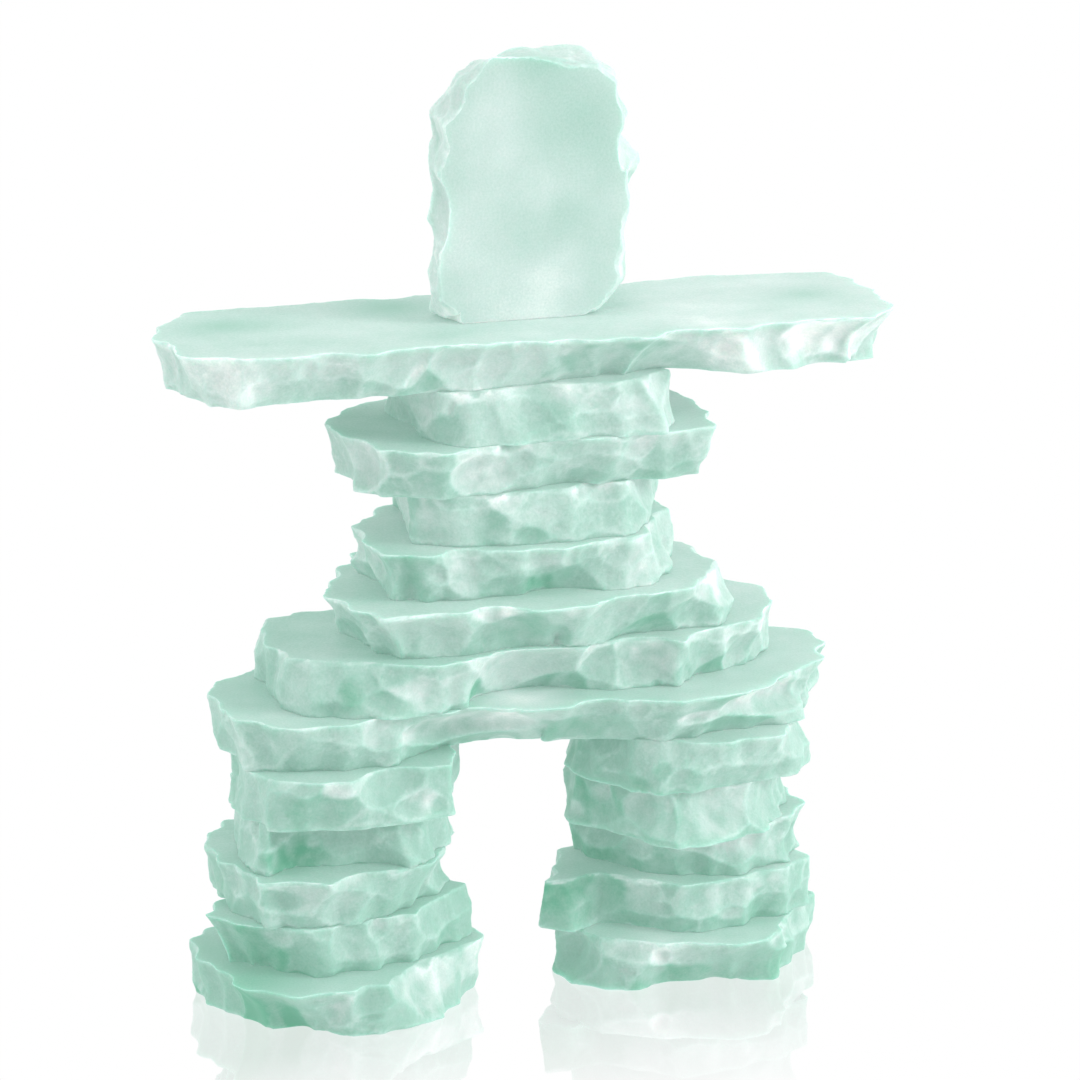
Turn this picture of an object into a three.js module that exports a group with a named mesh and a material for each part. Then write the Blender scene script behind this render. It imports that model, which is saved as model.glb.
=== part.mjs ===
// An inukshuk, the stone figure of the north, built up from nineteen slabs of jade green sheet glass.
// Every slab is cut from the same sheet, its rim is struck off in shell-shaped flakes, and the slabs
// are bonded flat on one another: five to each leg, one that bridges the legs, six for the body, the
// long slab of the arms, and a slab that stands on its sawn edge for the head.
// Millimetres, +Z up, the front faces -Y. Left and right are those of someone who looks at the front.
import * as THREE from 'three';

// The sheet and the stack.
const SHEET = 19; // thickness of the glass
const BOND = 0.3; // clear adhesive between two slabs
const STANCE = 138; // from the middle of one leg to the middle of the other
const STANCE_LEFT = 9; // the pair of legs stands this far left of the body
const HEAD_BACK = 7; // the head's middle plane stands this far behind the middle of the stack
const ARM_SPAN = 280; // from one end of the arms to the other
const HIP_SPAN = 240; // length of the slab that bridges the legs
const WAIST_SPAN = 202; // length of the slab on the hips
const HEAD_WIDTH = 78;
const HEAD_HEIGHT = 98;

// The struck rim.
const SCAR = 20; // width that one flake takes off the rim
const UNEVEN = 0.4; // share by which a scar is wider or narrower than the mean one
const COLUMN = 6.8; // spacing of the columns that carry the rim
const BITE = 0.15; // depth of a scar, as a share of its width
const BITE_SPREAD = 0.45; // share by which a scar is deeper or shallower than that
const RUN_OUT = 0.3; // depth of a scar on the face it was not struck from, as a share of the whole
const SLANT = 3.5; // most that a ridge between two scars leans along the rim, half of face to face
const CORNER_SLANT = 0.6; // the same at a corner, as a share of that
const LEVELS = [0, 0.3, 0.68, 1]; // heights of the columns' points, as shares of the sheet
const HOLLOW = 0.8; // under 1, a rim that leans is hollow; over 1, it bulges
const SAWN = true; // marks a corner after which the rim is sawn straight

// The plainer back rim, which no list describes.
const BACK_SPAN = 34; // spacing of its corners
const BACK_WANDER = 5; // most that a corner stands off its even spacing
const BACK_LINE = 0.97; // its middle line, as a share of half the slab's depth
const BACK_RAGGED = 0.03; // share of half the depth that its corners stand off that line
const BACK_LEAN = 4; // lean of its corners, in turn to the front and to the back

// A slab's rim is a list of corners [across, back, lean] from its rear left corner round the front to
// its rear right one. Across and back are percentages of half its length and half its depth, from its
// middle. Lean is in millimetres: over 0 the top edge is set back from the corner, under 0 the bottom
// edge is. "at" moves the slab's middle from the axis of the body or of its leg.

const LEFT_LEG = [
  {
    name: 'foot_left',
    length: 114,
    depth: 100,
    at: [0, -16],
    rim: [
      [-70, 78, -3], [-89, 52, -6], [-100, 16, -9], [-92, -16, -8], [-72, -60, -10], [-47, -92, -18],
      [-11, -100, -12], [12, -88, -3], [28, -78, 4], [56, -62, 9], [77, -40, 6], [101, -4, -5], [94, 44, -7],
    ],
  },
  {
    name: 'leg_left_2',
    length: 106,
    depth: 80,
    at: [1, -7],
    rim: [
      [-85, 12, -3], [-100, -28, -6], [-81, -62, -8], [-55, -82, -7], [-28, -100, -2], [6, -88, -1],
      [43, -80, -2], [66, -62, -2], [89, -42, 2], [100, -17, 3], [91, 48, 6],
    ],
  },
  {
    name: 'leg_left_3',
    length: 92,
    depth: 92,
    at: [1, -8],
    rim: [
      [-68, 92, -3], [-90, 60, -4], [-97, 26, -5], [-99, -9, -6], [-87, -39, -3], [-83, -80, -5],
      [-52, -91, -5], [-28, -100, -9], [2, -83, -1], [37, -83, -11], [63, -70, -9], [87, -35, -4],
      [105, 4, -2], [96, 57, 3],
    ],
  },
  {
    name: 'leg_left_4',
    length: 84,
    depth: 82,
    at: [4, -3],
    rim: [
      [-71, 80, -3], [-86, 32, -3], [-95, -22, -2], [-86, -90, 3], [-67, -78, 3], [-38, -71, 2],
      [-2, -73, 3], [36, -100, 5], [69, -78, 3], [95, -46, -1], [106, -2, -2], [98, 61, 3],
    ],
  },
  {
    name: 'leg_left_5',
    length: 92,
    depth: 94,
    at: [4, -9],
    rim: [
      [-72, 62, -2], [-86, 15, 2], [-90, -19, 2], [-91, -40, 2], [-81, -77, 1], [-54, -89, -4],
      [-22, -100, -4], [-2, -94, 2], [22, -85, 3], [46, -81, 2], [74, -79, -2], [91, -45, -6],
      [102, -2, -3], [99, 53, 3],
    ],
  },
];

const RIGHT_LEG = [
  {
    name: 'foot_right',
    length: 104,
    depth: 90,
    at: [1, -10],
    rim: [
      [-90, 36, -2], [-102, -4, 1], [-94, -40, 4], [-79, -58, 4], [-56, -71, 2], [-37, -80, -10],
      [-13, -93, -13], [12, -100, -14], [35, -93, -10], [56, -84, -3], [75, -58, -6], [96, -18, -5],
      [105, 13, -3], [90, 67, 3],
    ],
  },
  {
    name: 'leg_right_2',
    length: 108,
    depth: 78,
    at: [-4, -1],
    rim: [
      [-67, 49, -3], [-87, 3, -2], [-100, -38, -1], [-81, -51, 3], [-56, -33, 2], [-35, -62, -3],
      [-11, -95, -3], [13, -100, -1], [37, -92, -1], [69, -79, -4], [99, -46, 1], [107, 5, 3], [94, 59, 4],
    ],
  },
  {
    name: 'leg_right_3',
    length: 86,
    depth: 72,
    at: [5, 1],
    rim: [
      [-98, 53, -3], [-93, 14, -2], [-74, -14, -2], [-60, -58, -2], [-28, -81, -3], [-2, -100, -3],
      [28, -100, -4], [53, -92, -8], [81, -75, -4], [103, -22, -2], [97, 42, -3],
    ],
  },
  {
    name: 'leg_right_4',
    length: 86,
    depth: 90,
    at: [-2, -8],
    rim: [
      [-88, 36, -2], [-98, -2, 1], [-81, -13, 1], [-67, -44, 2], [-51, -80, 3], [-33, -98, 7],
      [-12, -98, 8], [23, -84, 4], [60, -71, 2], [90, -44, -3], [108, -5, -5], [103, 53, -4],
    ],
  },
  {
    name: 'leg_right_5',
    length: 92,
    depth: 90,
    at: [1, -7],
    rim: [
      [-81, 56, 6], [-96, 20, 6], [-96, -2, 3], [-83, -29, 2], [-67, -67, 1], [-48, -87, 3], [-20, -89, 1],
      [11, -98, -9], [37, -93, -9], [57, -87, -9], [74, -69, -3], [99, -33, 5], [104, 7, 8], [94, 60, 5],
    ],
  },
];

// The slab that bridges the legs, the body on it, and the arms, from the bottom up.
const BODY = [
  {
    name: 'hips',
    length: HIP_SPAN,
    depth: 100,
    at: [0, -7],
    rim: [
      [-78, 90, 3], [-84, 72, -4], [-95, 56, -3], [-99, 26, -3], [-100, -14, -2], [-97, -42, -4],
      [-90, -68, -8], [-80, -76, -5], [-68, -82, -6], [-51, -76, -4], [-34, -74, -18], [-18, -72, -23],
      [-8, -86, -28], [3, -88, -24], [13, -74, -16], [22, -82, -14], [35, -100, -16], [50, -90, -11],
      [68, -76, -11], [77, -56, -4], [85, -52, -6], [97, -26, -12], [103, 24, -6], [100, 58, -3], [92, 84, 3],
    ],
  },
  {
    name: 'body_1',
    length: WAIST_SPAN,
    depth: 98,
    at: [1, 0],
    rim: [
      [-76, 84, -3], [-91, 66, 2], [-98, 42, -2], [-100, 0, -2], [-99, -41, -2], [-92, -67, 3],
      [-79, -84, 6], [-60, -88, 2], [-45, -100, -8], [-34, -90, -4], [-23, -82, -14], [-7, -82, -19],
      [9, -86, -18], [20, -73, -5], [37, -73, -4], [47, -90, -8], [56, -69, -8], [68, -63, -8],
      [88, -47, -6], [99, 4, -4], [100, 53, 3], [90, 88, -3],
    ],
  },
  {
    name: 'body_2',
    length: 156,
    depth: 104,
    at: [-2, -2],
    rim: [
      [-62, 92, -4], [-94, 21, -8], [-100, -19, -14], [-94, -56, -14], [-82, -88, -15], [-64, -87, -10],
      [-41, -90, -12], [-23, -83, -12], [-6, -98, -19], [17, -100, -20], [28, -85, -12], [49, -79, -12],
      [68, -73, -10], [88, -52, -2], [104, -14, 2], [106, 36, 2], [91, 81, 3],
    ],
  },
  {
    name: 'body_3',
    length: 122,
    depth: 90,
    at: [-2, 3],
    rim: [
      [-79, 71, -2], [-99, 40, -3], [-103, -33, -6], [-100, -73, -9], [-75, -87, -6], [-54, -80, -1],
      [-18, -98, -9], [13, -100, -16], [34, -84, -3], [52, -93, -7], [70, -73, 2], [90, -42, 4],
      [103, 7, 3], [97, 60, -3],
    ],
  },
  {
    name: 'body_4',
    length: 106,
    depth: 82,
    at: [2, 7],
    rim: [
      [-74, 80, 3], [-92, 17, -4], [-99, -37, -1], [-96, -68, 1], [-68, -88, 1], [-38, -100, 2],
      [11, -100, 4], [57, -100, 8], [74, -76, 3], [90, -32, -2], [105, 17, -3], [99, 71, -5],
    ],
  },
  {
    name: 'body_5',
    length: 146,
    depth: 94,
    at: [0, 5],
    rim: [
      [-84, 82, -2], [-94, 32, -3], [-97, -28, -4], [-89, -66, -8], [-74, -83, -12], [-58, -100, -12],
      [-30, -91, -8], [-5, -87, -8], [32, -85, -8], [64, -83, -9], [88, -72, -8], [104, -26, -8],
      [103, 15, -6], [94, 57, 3], [71, 89, -4],
    ],
  },
  {
    name: 'body_6',
    length: 108,
    depth: 86,
    at: [0, 6],
    rim: [
      [-78, 70, 4], [-89, 28, -6], [-98, -23, -9], [-91, -56, -9], [-74, -77, -2], [-57, -95, 6],
      [-26, -100, 7], [15, -95, 6], [52, -95, 6], [82, -94, 8], [99, -60, 0],
      [105, -5, -3], [101, 60, 4], [74, 95, -4],
    ],
  },
  {
    name: 'arms',
    length: ARM_SPAN,
    depth: 96,
    at: [2, 4],
    rim: [
      [-84, 88, -3], [-96, 47, -3], [-100, 10, -6], [-98, -29, -9], [-95, -65, -8], [-84, -81, -3],
      [-70, -83, -10], [-50, -92, -16], [-40, -85, -12], [-20, -92, -11], [-10, -83, -10], [-3, -94, -15],
      [26, -102, -18], [33, -85, -19], [41, -85, -18], [52, -92, -9], [66, -88, -11], [89, -96, -18],
      [96, -54, -6], [100, 6, -3], [97, 50, -4], [94, 83, -3], [86, 100, 2], [70, 92, -4],
    ],
  },
];

// The head stands on its sawn edge: back is then up, and the top face is the front one. Its rim runs
// all the way round from the left end of the sawn edge, so it has no plainer back rim.
const HEAD = {
  name: 'head',
  length: HEAD_WIDTH,
  depth: HEAD_HEIGHT,
  at: [7, 0],
  whole: true,
  rim: [
    [-100, -100, 3, SAWN], [69, -100, 7], [95, -80, 7], [90, -55, 4], [93, -9, 3], [111, 11, 3],
    [92, 25, 3], [92, 50, 3], [81, 80, 4], [55, 96, 4], [28, 99, 3], [-13, 100, 0], [-51, 98, -3],
    [-80, 84, -4], [-95, 51, 0], [-100, 18, -1], [-100, -22, 0], [-103, -67, 1],
  ],
};

// Frosted jade glass: pale and matt, a little greener low down, where the stack is thickest.
const GLASS_TOP = '#d3efe6';
const GLASS_FOOT = '#a9d8c6';
const COURSES = LEFT_LEG.length + BODY.length + 1;

function frostedGlass(course) {
  return new THREE.MeshStandardMaterial({
    color: new THREE.Color(GLASS_FOOT).lerp(new THREE.Color(GLASS_TOP), course / (COURSES - 1)),
    roughness: 0.5,
    metalness: 0,
  });
}

// A number from -1 to 1 that looks random and is always the same for the same key.
function wander(key) {
  const s = Math.sin(key * 12.9898 + 4.1414) * 43758.5453;
  return 2 * (s - Math.floor(s)) - 1;
}

function hashOf(name) {
  return [...name].reduce((sum, letter) => sum * 31 % 9973 + letter.charCodeAt(0), 7);
}

// The rim's corners in millimetres from the slab's middle, counter-clockwise seen from above.
function cornersOf(slab) {
  const halfLength = slab.length / 2;
  const halfDepth = slab.depth / 2;
  const corners = slab.rim.map(([across, back, lean, sawn]) => ({
    x: (across / 100) * halfLength,
    y: (back / 100) * halfDepth,
    lean,
    sawn: Boolean(sawn),
  }));
  if (slab.whole) return corners;
  const right = corners.at(-1);
  const left = corners[0];
  const count = Math.max(2, Math.round((right.x - left.x) / BACK_SPAN));
  for (let i = 1; i < count; i++) {
    const t = i / count;
    const stray = wander(hashOf(slab.name) + i);
    corners.push({
      x: right.x + (left.x - right.x) * t + BACK_WANDER * stray,
      y: halfDepth * (BACK_LINE + BACK_RAGGED * stray),
      lean: i % 2 ? BACK_LEAN : -BACK_LEAN,
      sawn: false,
    });
  }
  return corners;
}

// The outward direction of the rim between two corners.
function outward(from, to) {
  return new THREE.Vector2(to.y - from.y, from.x - to.x).normalize();
}

// The way in which a corner is set back: between its two sides, or along a sawn side.
function cornerOutward(corners, i) {
  const before = corners.at(i - 1);
  const corner = corners[i];
  const after = corners[(i + 1) % corners.length];
  const cameIn = outward(before, corner);
  const goesOut = outward(corner, after);
  if (corner.sawn) return new THREE.Vector2(-goesOut.y, goesOut.x).negate();
  if (before.sawn) return new THREE.Vector2(-cameIn.y, cameIn.x);
  return cameIn.add(goesOut).normalize();
}

// The edges of the scars between two corners, as shares of the way: uneven, in random widths.
function scarEdges(count, seed) {
  const widths = Array.from({ length: count }, (_, i) => 1 + UNEVEN * wander(seed + i));
  const whole = widths.reduce((sum, width) => sum + width, 0);
  return widths.reduce((edges, width) => [...edges, edges.at(-1) + width / whole], [0]);
}

// The columns that carry the rim. Between two corners the rim is a row of scars, each deepest in its
// middle and shallow at the ridges that part it from its neighbours. The ridges slant.
function columnsOf(slab) {
  const corners = cornersOf(slab);
  const key = hashOf(slab.name);
  const cornerSlant = (i) => {
    if (corners[i].sawn || corners.at(i - 1).sawn) return 0;
    return SLANT * CORNER_SLANT * wander(key + 31 * i);
  };
  const columns = [];
  corners.forEach((corner, i) => {
    const after = (i + 1) % corners.length;
    const next = corners[after];
    const out = cornerOutward(corners, i);
    const nextOut = cornerOutward(corners, after);
    const span = Math.hypot(next.x - corner.x, next.y - corner.y);
    const scars = corner.sawn ? 1 : Math.max(1, Math.round(span / SCAR));
    const edges = scarEdges(scars, key + 13 * i);
    for (let scar = 0; scar < scars; scar++) {
      const seed = key + 17 * i + 5 * scar;
      const width = span * (edges[scar + 1] - edges[scar]);
      const steps = corner.sawn ? 1 : Math.max(2, Math.round(width / COLUMN));
      const bite = corner.sawn ? 0 : BITE * width * (1 + BITE_SPREAD * wander(seed));
      const slant = scar ? SLANT * wander(seed + 1) : cornerSlant(i);
      const nextSlant = scar + 1 < scars ? SLANT * wander(seed + 6) : cornerSlant(after);
      for (let step = 0; step < steps; step++) {
        const across = step / steps;
        const t = edges[scar] + (edges[scar + 1] - edges[scar]) * across;
        columns.push({
          x: corner.x + (next.x - corner.x) * t,
          y: corner.y + (next.y - corner.y) * t,
          out: out.clone().lerp(nextOut, t).normalize(),
          slant: slant + (nextSlant - slant) * across,
          lean: corner.lean + (next.lean - corner.lean) * t,
          bite: bite * 4 * across * (1 - across),
          fromTop: wander(seed + 2) > 0,
        });
      }
    }
  });
  return columns;
}

// Where a column stands in plan at a height, given as a share of the sheet.
function columnAt(column, height) {
  const open = column.lean > 0 ? height : 1 - height;
  const struck = column.fromTop ? height : 1 - height;
  const depth = RUN_OUT + (1 - RUN_OUT) * struck;
  const inset = Math.abs(column.lean) * open ** HOLLOW + column.bite * depth;
  const slide = column.slant * (2 * height - 1);
  return new THREE.Vector2(
    column.x - column.out.x * inset - column.out.y * slide,
    column.y - column.out.y * inset + column.out.x * slide,
  );
}

// One closed slab, its underside at height 0: a ring of points at each level, and two flat faces.
function slabGeometry(slab) {
  const columns = columnsOf(slab);
  const rings = LEVELS.map((level) => columns.map((column) => columnAt(column, level)));
  const points = rings.flatMap((ring, k) => ring.flatMap((p) => [p.x, p.y, LEVELS[k] * SHEET]));
  const around = columns.length;
  const faces = [];
  for (let k = 0; k + 1 < LEVELS.length; k++) {
    for (let i = 0; i < around; i++) {
      const a = k * around + i;
      const b = k * around + (i + 1) % around;
      faces.push(a, b, b + around, a, b + around, a + around);
    }
  }
  const top = (LEVELS.length - 1) * around;
  THREE.ShapeUtils.triangulateShape(rings[0], []).forEach(([a, b, c]) => faces.push(a, c, b));
  THREE.ShapeUtils.triangulateShape(rings.at(-1), [])
    .forEach(([a, b, c]) => faces.push(top + a, top + b, top + c));
  const geometry = new THREE.BufferGeometry();
  geometry.setAttribute('position', new THREE.Float32BufferAttribute(points, 3));
  geometry.setIndex(faces);
  geometry.computeVertexNormals();
  return geometry;
}

function slabMesh(slab, course) {
  const mesh = new THREE.Mesh(slabGeometry(slab), frostedGlass(course));
  mesh.name = slab.name;
  return mesh;
}

// A pile of slabs, laid from a course upwards on the axis that stands at x.
function pile(slabs, x, firstCourse) {
  const group = new THREE.Group();
  slabs.forEach((slab, i) => {
    const mesh = slabMesh(slab, firstCourse + i);
    mesh.position.set(slab.at[0], slab.at[1], (firstCourse + i) * (SHEET + BOND));
    group.add(mesh);
  });
  group.position.x = x;
  return group;
}

function standingHead() {
  const course = COURSES - 1;
  const mesh = slabMesh(HEAD, course);
  mesh.rotation.x = Math.PI / 2;
  mesh.position.set(HEAD.at[0], HEAD_BACK + SHEET / 2, course * (SHEET + BOND) + HEAD.depth / 2);
  return mesh;
}

const inukshuk = new THREE.Group();
inukshuk.add(pile(LEFT_LEG, -STANCE_LEFT - STANCE / 2, 0));
inukshuk.add(pile(RIGHT_LEG, -STANCE_LEFT + STANCE / 2, 0));
inukshuk.add(pile(BODY, 0, LEFT_LEG.length));
inukshuk.add(standingHead());

// The origin is the middle of the figure's outline, on the surface that the feet stand on.
inukshuk.updateMatrixWorld(true);
const outline = new THREE.Box3().setFromObject(inukshuk, true);
inukshuk.position.set(-(outline.min.x + outline.max.x) / 2, -(outline.min.y + outline.max.y) / 2, 0);

export default inukshuk;
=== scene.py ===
import math
from collections import namedtuple

import bpy
import numpy as np
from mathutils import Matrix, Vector


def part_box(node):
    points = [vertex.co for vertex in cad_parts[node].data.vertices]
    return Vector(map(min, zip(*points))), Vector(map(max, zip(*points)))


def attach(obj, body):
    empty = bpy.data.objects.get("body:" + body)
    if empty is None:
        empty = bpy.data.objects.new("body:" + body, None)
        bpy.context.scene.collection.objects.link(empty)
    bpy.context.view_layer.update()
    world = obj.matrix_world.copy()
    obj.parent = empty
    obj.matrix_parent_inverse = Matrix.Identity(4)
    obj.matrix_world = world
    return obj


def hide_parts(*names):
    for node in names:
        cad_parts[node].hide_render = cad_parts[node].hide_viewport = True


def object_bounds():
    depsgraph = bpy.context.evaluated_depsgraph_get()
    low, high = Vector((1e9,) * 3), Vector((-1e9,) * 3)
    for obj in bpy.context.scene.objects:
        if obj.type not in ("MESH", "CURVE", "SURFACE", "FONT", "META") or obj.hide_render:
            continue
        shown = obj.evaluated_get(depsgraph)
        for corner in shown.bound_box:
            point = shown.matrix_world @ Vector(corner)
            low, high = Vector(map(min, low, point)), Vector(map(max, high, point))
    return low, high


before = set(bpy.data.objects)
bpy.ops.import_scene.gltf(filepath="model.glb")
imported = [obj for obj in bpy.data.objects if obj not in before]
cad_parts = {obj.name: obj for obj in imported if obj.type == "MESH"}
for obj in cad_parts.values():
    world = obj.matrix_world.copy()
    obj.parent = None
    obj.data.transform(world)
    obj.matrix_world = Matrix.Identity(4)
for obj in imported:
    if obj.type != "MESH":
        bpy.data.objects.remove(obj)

cad_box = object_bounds()

# The camera.
# The figure is seen from a little to the left of its front and from above, far enough away that the
# slabs' edges stay nearly parallel. One photograph pixel is 1/2.7 of a millimetre at the figure.
PHOTO = 1080
AZIMUTH = math.radians(-17.6)
ELEVATION = math.radians(14.8)
PIXELS_PER_METRE = 2700
FOCAL_PIXELS = 5500
SENSOR_MM = 36
NEAREST = 0.1
FARTHEST = 20
AIM = Vector((0.0021, -0.0010, 0.168))

towards_camera = Vector((
    math.sin(AZIMUTH) * math.cos(ELEVATION),
    -math.cos(AZIMUTH) * math.cos(ELEVATION),
    math.sin(ELEVATION),
))
camera = bpy.data.objects.new("camera", bpy.data.cameras.new("camera"))
camera.location = AIM + towards_camera * (FOCAL_PIXELS / PIXELS_PER_METRE)
camera.rotation_euler = (-towards_camera).to_track_quat("-Z", "Y").to_euler()
camera.data.sensor_width = SENSOR_MM
camera.data.lens = SENSOR_MM * FOCAL_PIXELS / PHOTO
camera.data.clip_start = NEAREST
camera.data.clip_end = FARTHEST
bpy.context.scene.collection.objects.link(camera)
bpy.context.scene.camera = camera
bpy.context.view_layer.update()


# The left leg.
# Five slabs of one sheet of jade green glass, sawn out roughly, their rims struck off in flakes with a
# hammer, then sandblasted all over and bonded flat on one another with a clear adhesive.

# Lengths are in metres, apart from the listed scars'. Undersides are let down a little past the gap that
# the adhesive fills, so that no light shows through a joint.
SHEET = 0.019
BOND = 0.0003
PRESSED = 1.3 * BOND
MILLIMETRE = 0.001

# The solid's rim has its corners on rings at these shares of the sheet, and corners that agree to so many
# decimals are one. The mesh that is struck has a point at every step along the rim and every row up it,
# with a few rows more on the rounded arrises. The lower arris is almost sharp.
LEVELS = (0, 0.3, 0.68, 1)
SAME_DECIMALS = 7
STEP = 0.0008
ROW = 0.0007
SOFTEN = 0.0017
ARRIS = 0.0005
ARRIS_ROWS = (0, 0.15, 0.45, 1.0)
LOWER_ARRIS = 0.1


class Scar(namedtuple("Scar", "along up wide tall turn tip pale")):
    """One struck scar that shows in the photograph, in millimetres: how far along the rim from the
    slab's left end, counter-clockwise from above, how high above its underside, how wide and how tall.
    turn is how far it faces right and tip how far up, as slopes, and pale runs from -1, deep green, to
    1, white. The paleness is partly the scar's frost and partly painted light and shade, and the brightest
    small scars are painted glints."""


def struck_rings(node, stands):
    """The rings of points that carry a slab's rim, underside first, each counter-clockwise seen from
    the slab's upper face, with point i of a ring above point i of the ring below it."""
    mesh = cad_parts[node].data
    flat = np.empty(len(mesh.vertices) * 3)
    mesh.vertices.foreach_get("co", flat)
    places = flat.reshape(-1, 3)
    if stands:
        places = places[:, [0, 2, 1]] * (1, 1, -1)
    points, which = np.unique(places.round(SAME_DECIMALS), axis=0, return_inverse=True)
    rise = (points[:, 2] - points[:, 2].min()) / SHEET
    level = np.abs(rise[:, None] - LEVELS).argmin(axis=1)
    near = [set() for _ in points]
    for face in mesh.polygons:
        corners = [which[vertex] for vertex in face.vertices]
        for corner in corners:
            near[corner].update(corners)

    def joined(point, at):
        return {other for other in near[point] if level[other] == at and other != point}

    start = int(np.flatnonzero(level == 1)[0])
    loop = [start, min(joined(start, 1))]
    while True:
        (onward,) = joined(loop[-1], 1) - {loop[-2]}
        if onward == start:
            break
        loop.append(onward)
    x, y = points[loop, 0], points[loop, 1]
    if np.sum(x * np.roll(y, -1) - y * np.roll(x, -1)) < 0:
        loop.reverse()
    after = loop[1:] + loop[:1]
    before = loop[-1:] + loop[:-1]
    under = [min(joined(one, 0) & joined(two, 0)) for one, two in zip(loop, after)]
    upper = [min(joined(one, 2) & joined(two, 2)) for one, two in zip(loop, before)]
    top = [min(joined(one, 3) & joined(two, 3)) for one, two in zip(upper, upper[-1:] + upper[:-1])]
    return np.array([points[ring] for ring in (under, loop, upper, top)])


def smoothed(ring, step, reach):
    """A closed ring of values, evened out over a distance."""
    waves = np.fft.rfftfreq(len(ring), step)
    keep = np.exp(-2 * (math.pi * reach * waves) ** 2)
    spread = np.fft.rfft(ring, axis=0) * keep.reshape(-1, *[1] * (ring.ndim - 1))
    return np.fft.irfft(spread, len(ring), axis=0)


Blank = namedtuple("Blank", "rim out along length heights low")


def blank(node, stands=False):
    """A slab's rim before its scars: its points, the way it faces, places along it and heights up it."""
    rings = struck_rings(node, stands)
    middle = rings[1:3, :, :2].mean(axis=0)
    sides = np.linalg.norm(np.roll(middle, -1, axis=0) - middle, axis=1)
    length = sides.sum()
    count = round(length / STEP)
    along = np.arange(count) * length / count
    marks = np.concatenate(([0], np.cumsum(sides)))

    # Each ring at even steps, with its corners softened.
    fine = np.empty((len(rings), count, 2))
    for ring, out in zip(rings, fine):
        for axis in (0, 1):
            out[:, axis] = np.interp(along, marks, np.append(ring[:, axis], ring[0, axis]))
    fine = np.array([smoothed(ring, STEP, SOFTEN) for ring in fine])

    # At every height a smooth curve through the four rings.
    edge = [part * ARRIS for part in ARRIS_ROWS]
    inner = np.linspace(ARRIS, SHEET - ARRIS, round((SHEET - 2 * ARRIS) / ROW) + 1)
    heights = np.concatenate((edge[:-1], inner, [SHEET - row for row in edge[-2::-1]]))
    share = heights / SHEET
    weights = np.array([
        np.prod([(share - other) / (own - other) for other in LEVELS if other != own], axis=0)
        for own in LEVELS
    ])
    rim = np.einsum("kr,kui->rui", weights, fine)

    # The way that the rim faces, level and turning slowly.
    core = smoothed(fine.mean(axis=0), STEP, 2 * SOFTEN)
    ahead = np.roll(core, -1, axis=0) - np.roll(core, 1, axis=0)
    out = np.stack((ahead[:, 1], -ahead[:, 0]), axis=1)
    out = smoothed(out / np.linalg.norm(out, axis=1, keepdims=True), STEP, 2 * SOFTEN)
    out /= np.linalg.norm(out, axis=1, keepdims=True)
    return Blank(rim, out, along, length, heights, low=rings[0, 0, 2])


def standing(places, stands):
    """Points in a slab's own axes as points of the figure."""
    return places[..., [0, 2, 1]] * (1, -1, 1) if stands else places


def evened(slab, field, reach):
    """A field on the rim, evened out over a distance both ways."""
    apart = slab.heights[:, None] - slab.heights[None, :]
    near = np.exp(-apart ** 2 / (2 * reach ** 2))
    near /= near.sum(axis=1, keepdims=True)
    return smoothed((near @ field).T, STEP, reach).T


def mottled(slab, dice, reach):
    """A random field on the rim with patches of about one size, from about -2 to 2."""
    field = evened(slab, dice.normal(size=(len(slab.heights), len(slab.along))), reach)
    return field / field.std()


# One blow: how deep the rim lies where none fell, how deep a listed one bites, the shape of its bowl and of
# its ripples, how sharp the ridge to the next bowl is and how far their colours run into one another. The
# powers that blend them stay within bounds. A bowl's colour is strongest on one side, mostly its upper one,
# as painted light from above.
UNTOUCHED = -0.0001
PLACED = 0.0016
SLOPES = 1.5
BOWL = 0.00035
BOWL_SPREAD = 0.05
RIPPLE = 0.0031
RIPPLE_DEPTH = 0.00006
RIDGE = 0.00008
FADE = 0.0003
LEAST_POWER = -60
MOST_POWER = 200
PALE_WAYS = 0.8
PALE_MIDDLE = 0.8
PALE_CHANGE = 0.3
PALE_RANGE = (0.3, 1.2)

# The blows that aren't listed one by one, as ranges: broad and small scars, then flakes and tiny chips
# off both edges. Heights and how tall a broad scar is are shares of the sheet. Their paleness is painted
# light: a scar is paler the more it faces right and up, and flakes and chips off the upper edge are paler
# than those off the lower one.
BROAD_WIDE = (0.005, 0.014)
BROAD_OVERLAP = (0.5, 1.0)
BROAD_ON_TOP = 0.5
BROAD_HIGH = (0.7, 1.0)
BROAD_LOW = (0, 0.3)
BROAD_TALL = (0.5, 1.0)
BROAD_TIP = (0.02, 0.25)
BROAD_TURN = (-0.2, 0.2)
BROAD_DEEP = (0.0006, 0.0013)
SMALL_APART = 0.018
SMALL_UP = (0.1, 0.9)
SMALL_SIZE = (0.0020, 0.0060)
SMALL_FLATTER = (0.5, 1.0)
SMALL_TURN = (-0.5, 0.5)
SMALL_TIP = (-0.3, 0.5)
SMALL_DEEPER = (-0.0001, 0.0003)
SMALL_PALE = (-0.2, 0.3)
SMALL_PALE_SLOPE = 0.7
FLAKES_APART = 0.007
FLAKE_WIDE = (0.003, 0.009)
FLAKE_DEEP = (0.0005, 0.0016)
FLAKE_SLOPE = (0.45, 0.9)
FLAKES_ON_TOP = 0.65
FLAKE_PALE_TOP = (0, 0.7)
FLAKE_PALE_BELOW = (-0.4, 0.3)
CHIPS_APART = 0.003
CHIP_WIDE = (0.0007, 0.0022)
CHIP_DEEP = (0.0002, 0.0007)
CHIP_SLOPE = (0.4, 1.0)
CHIPS_ON_TOP = 0.75
CHIP_PALE_TOP = 0.4
CHIP_PALE_BELOW = 0.1
CHIP_SHOWS = 0.00015
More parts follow.
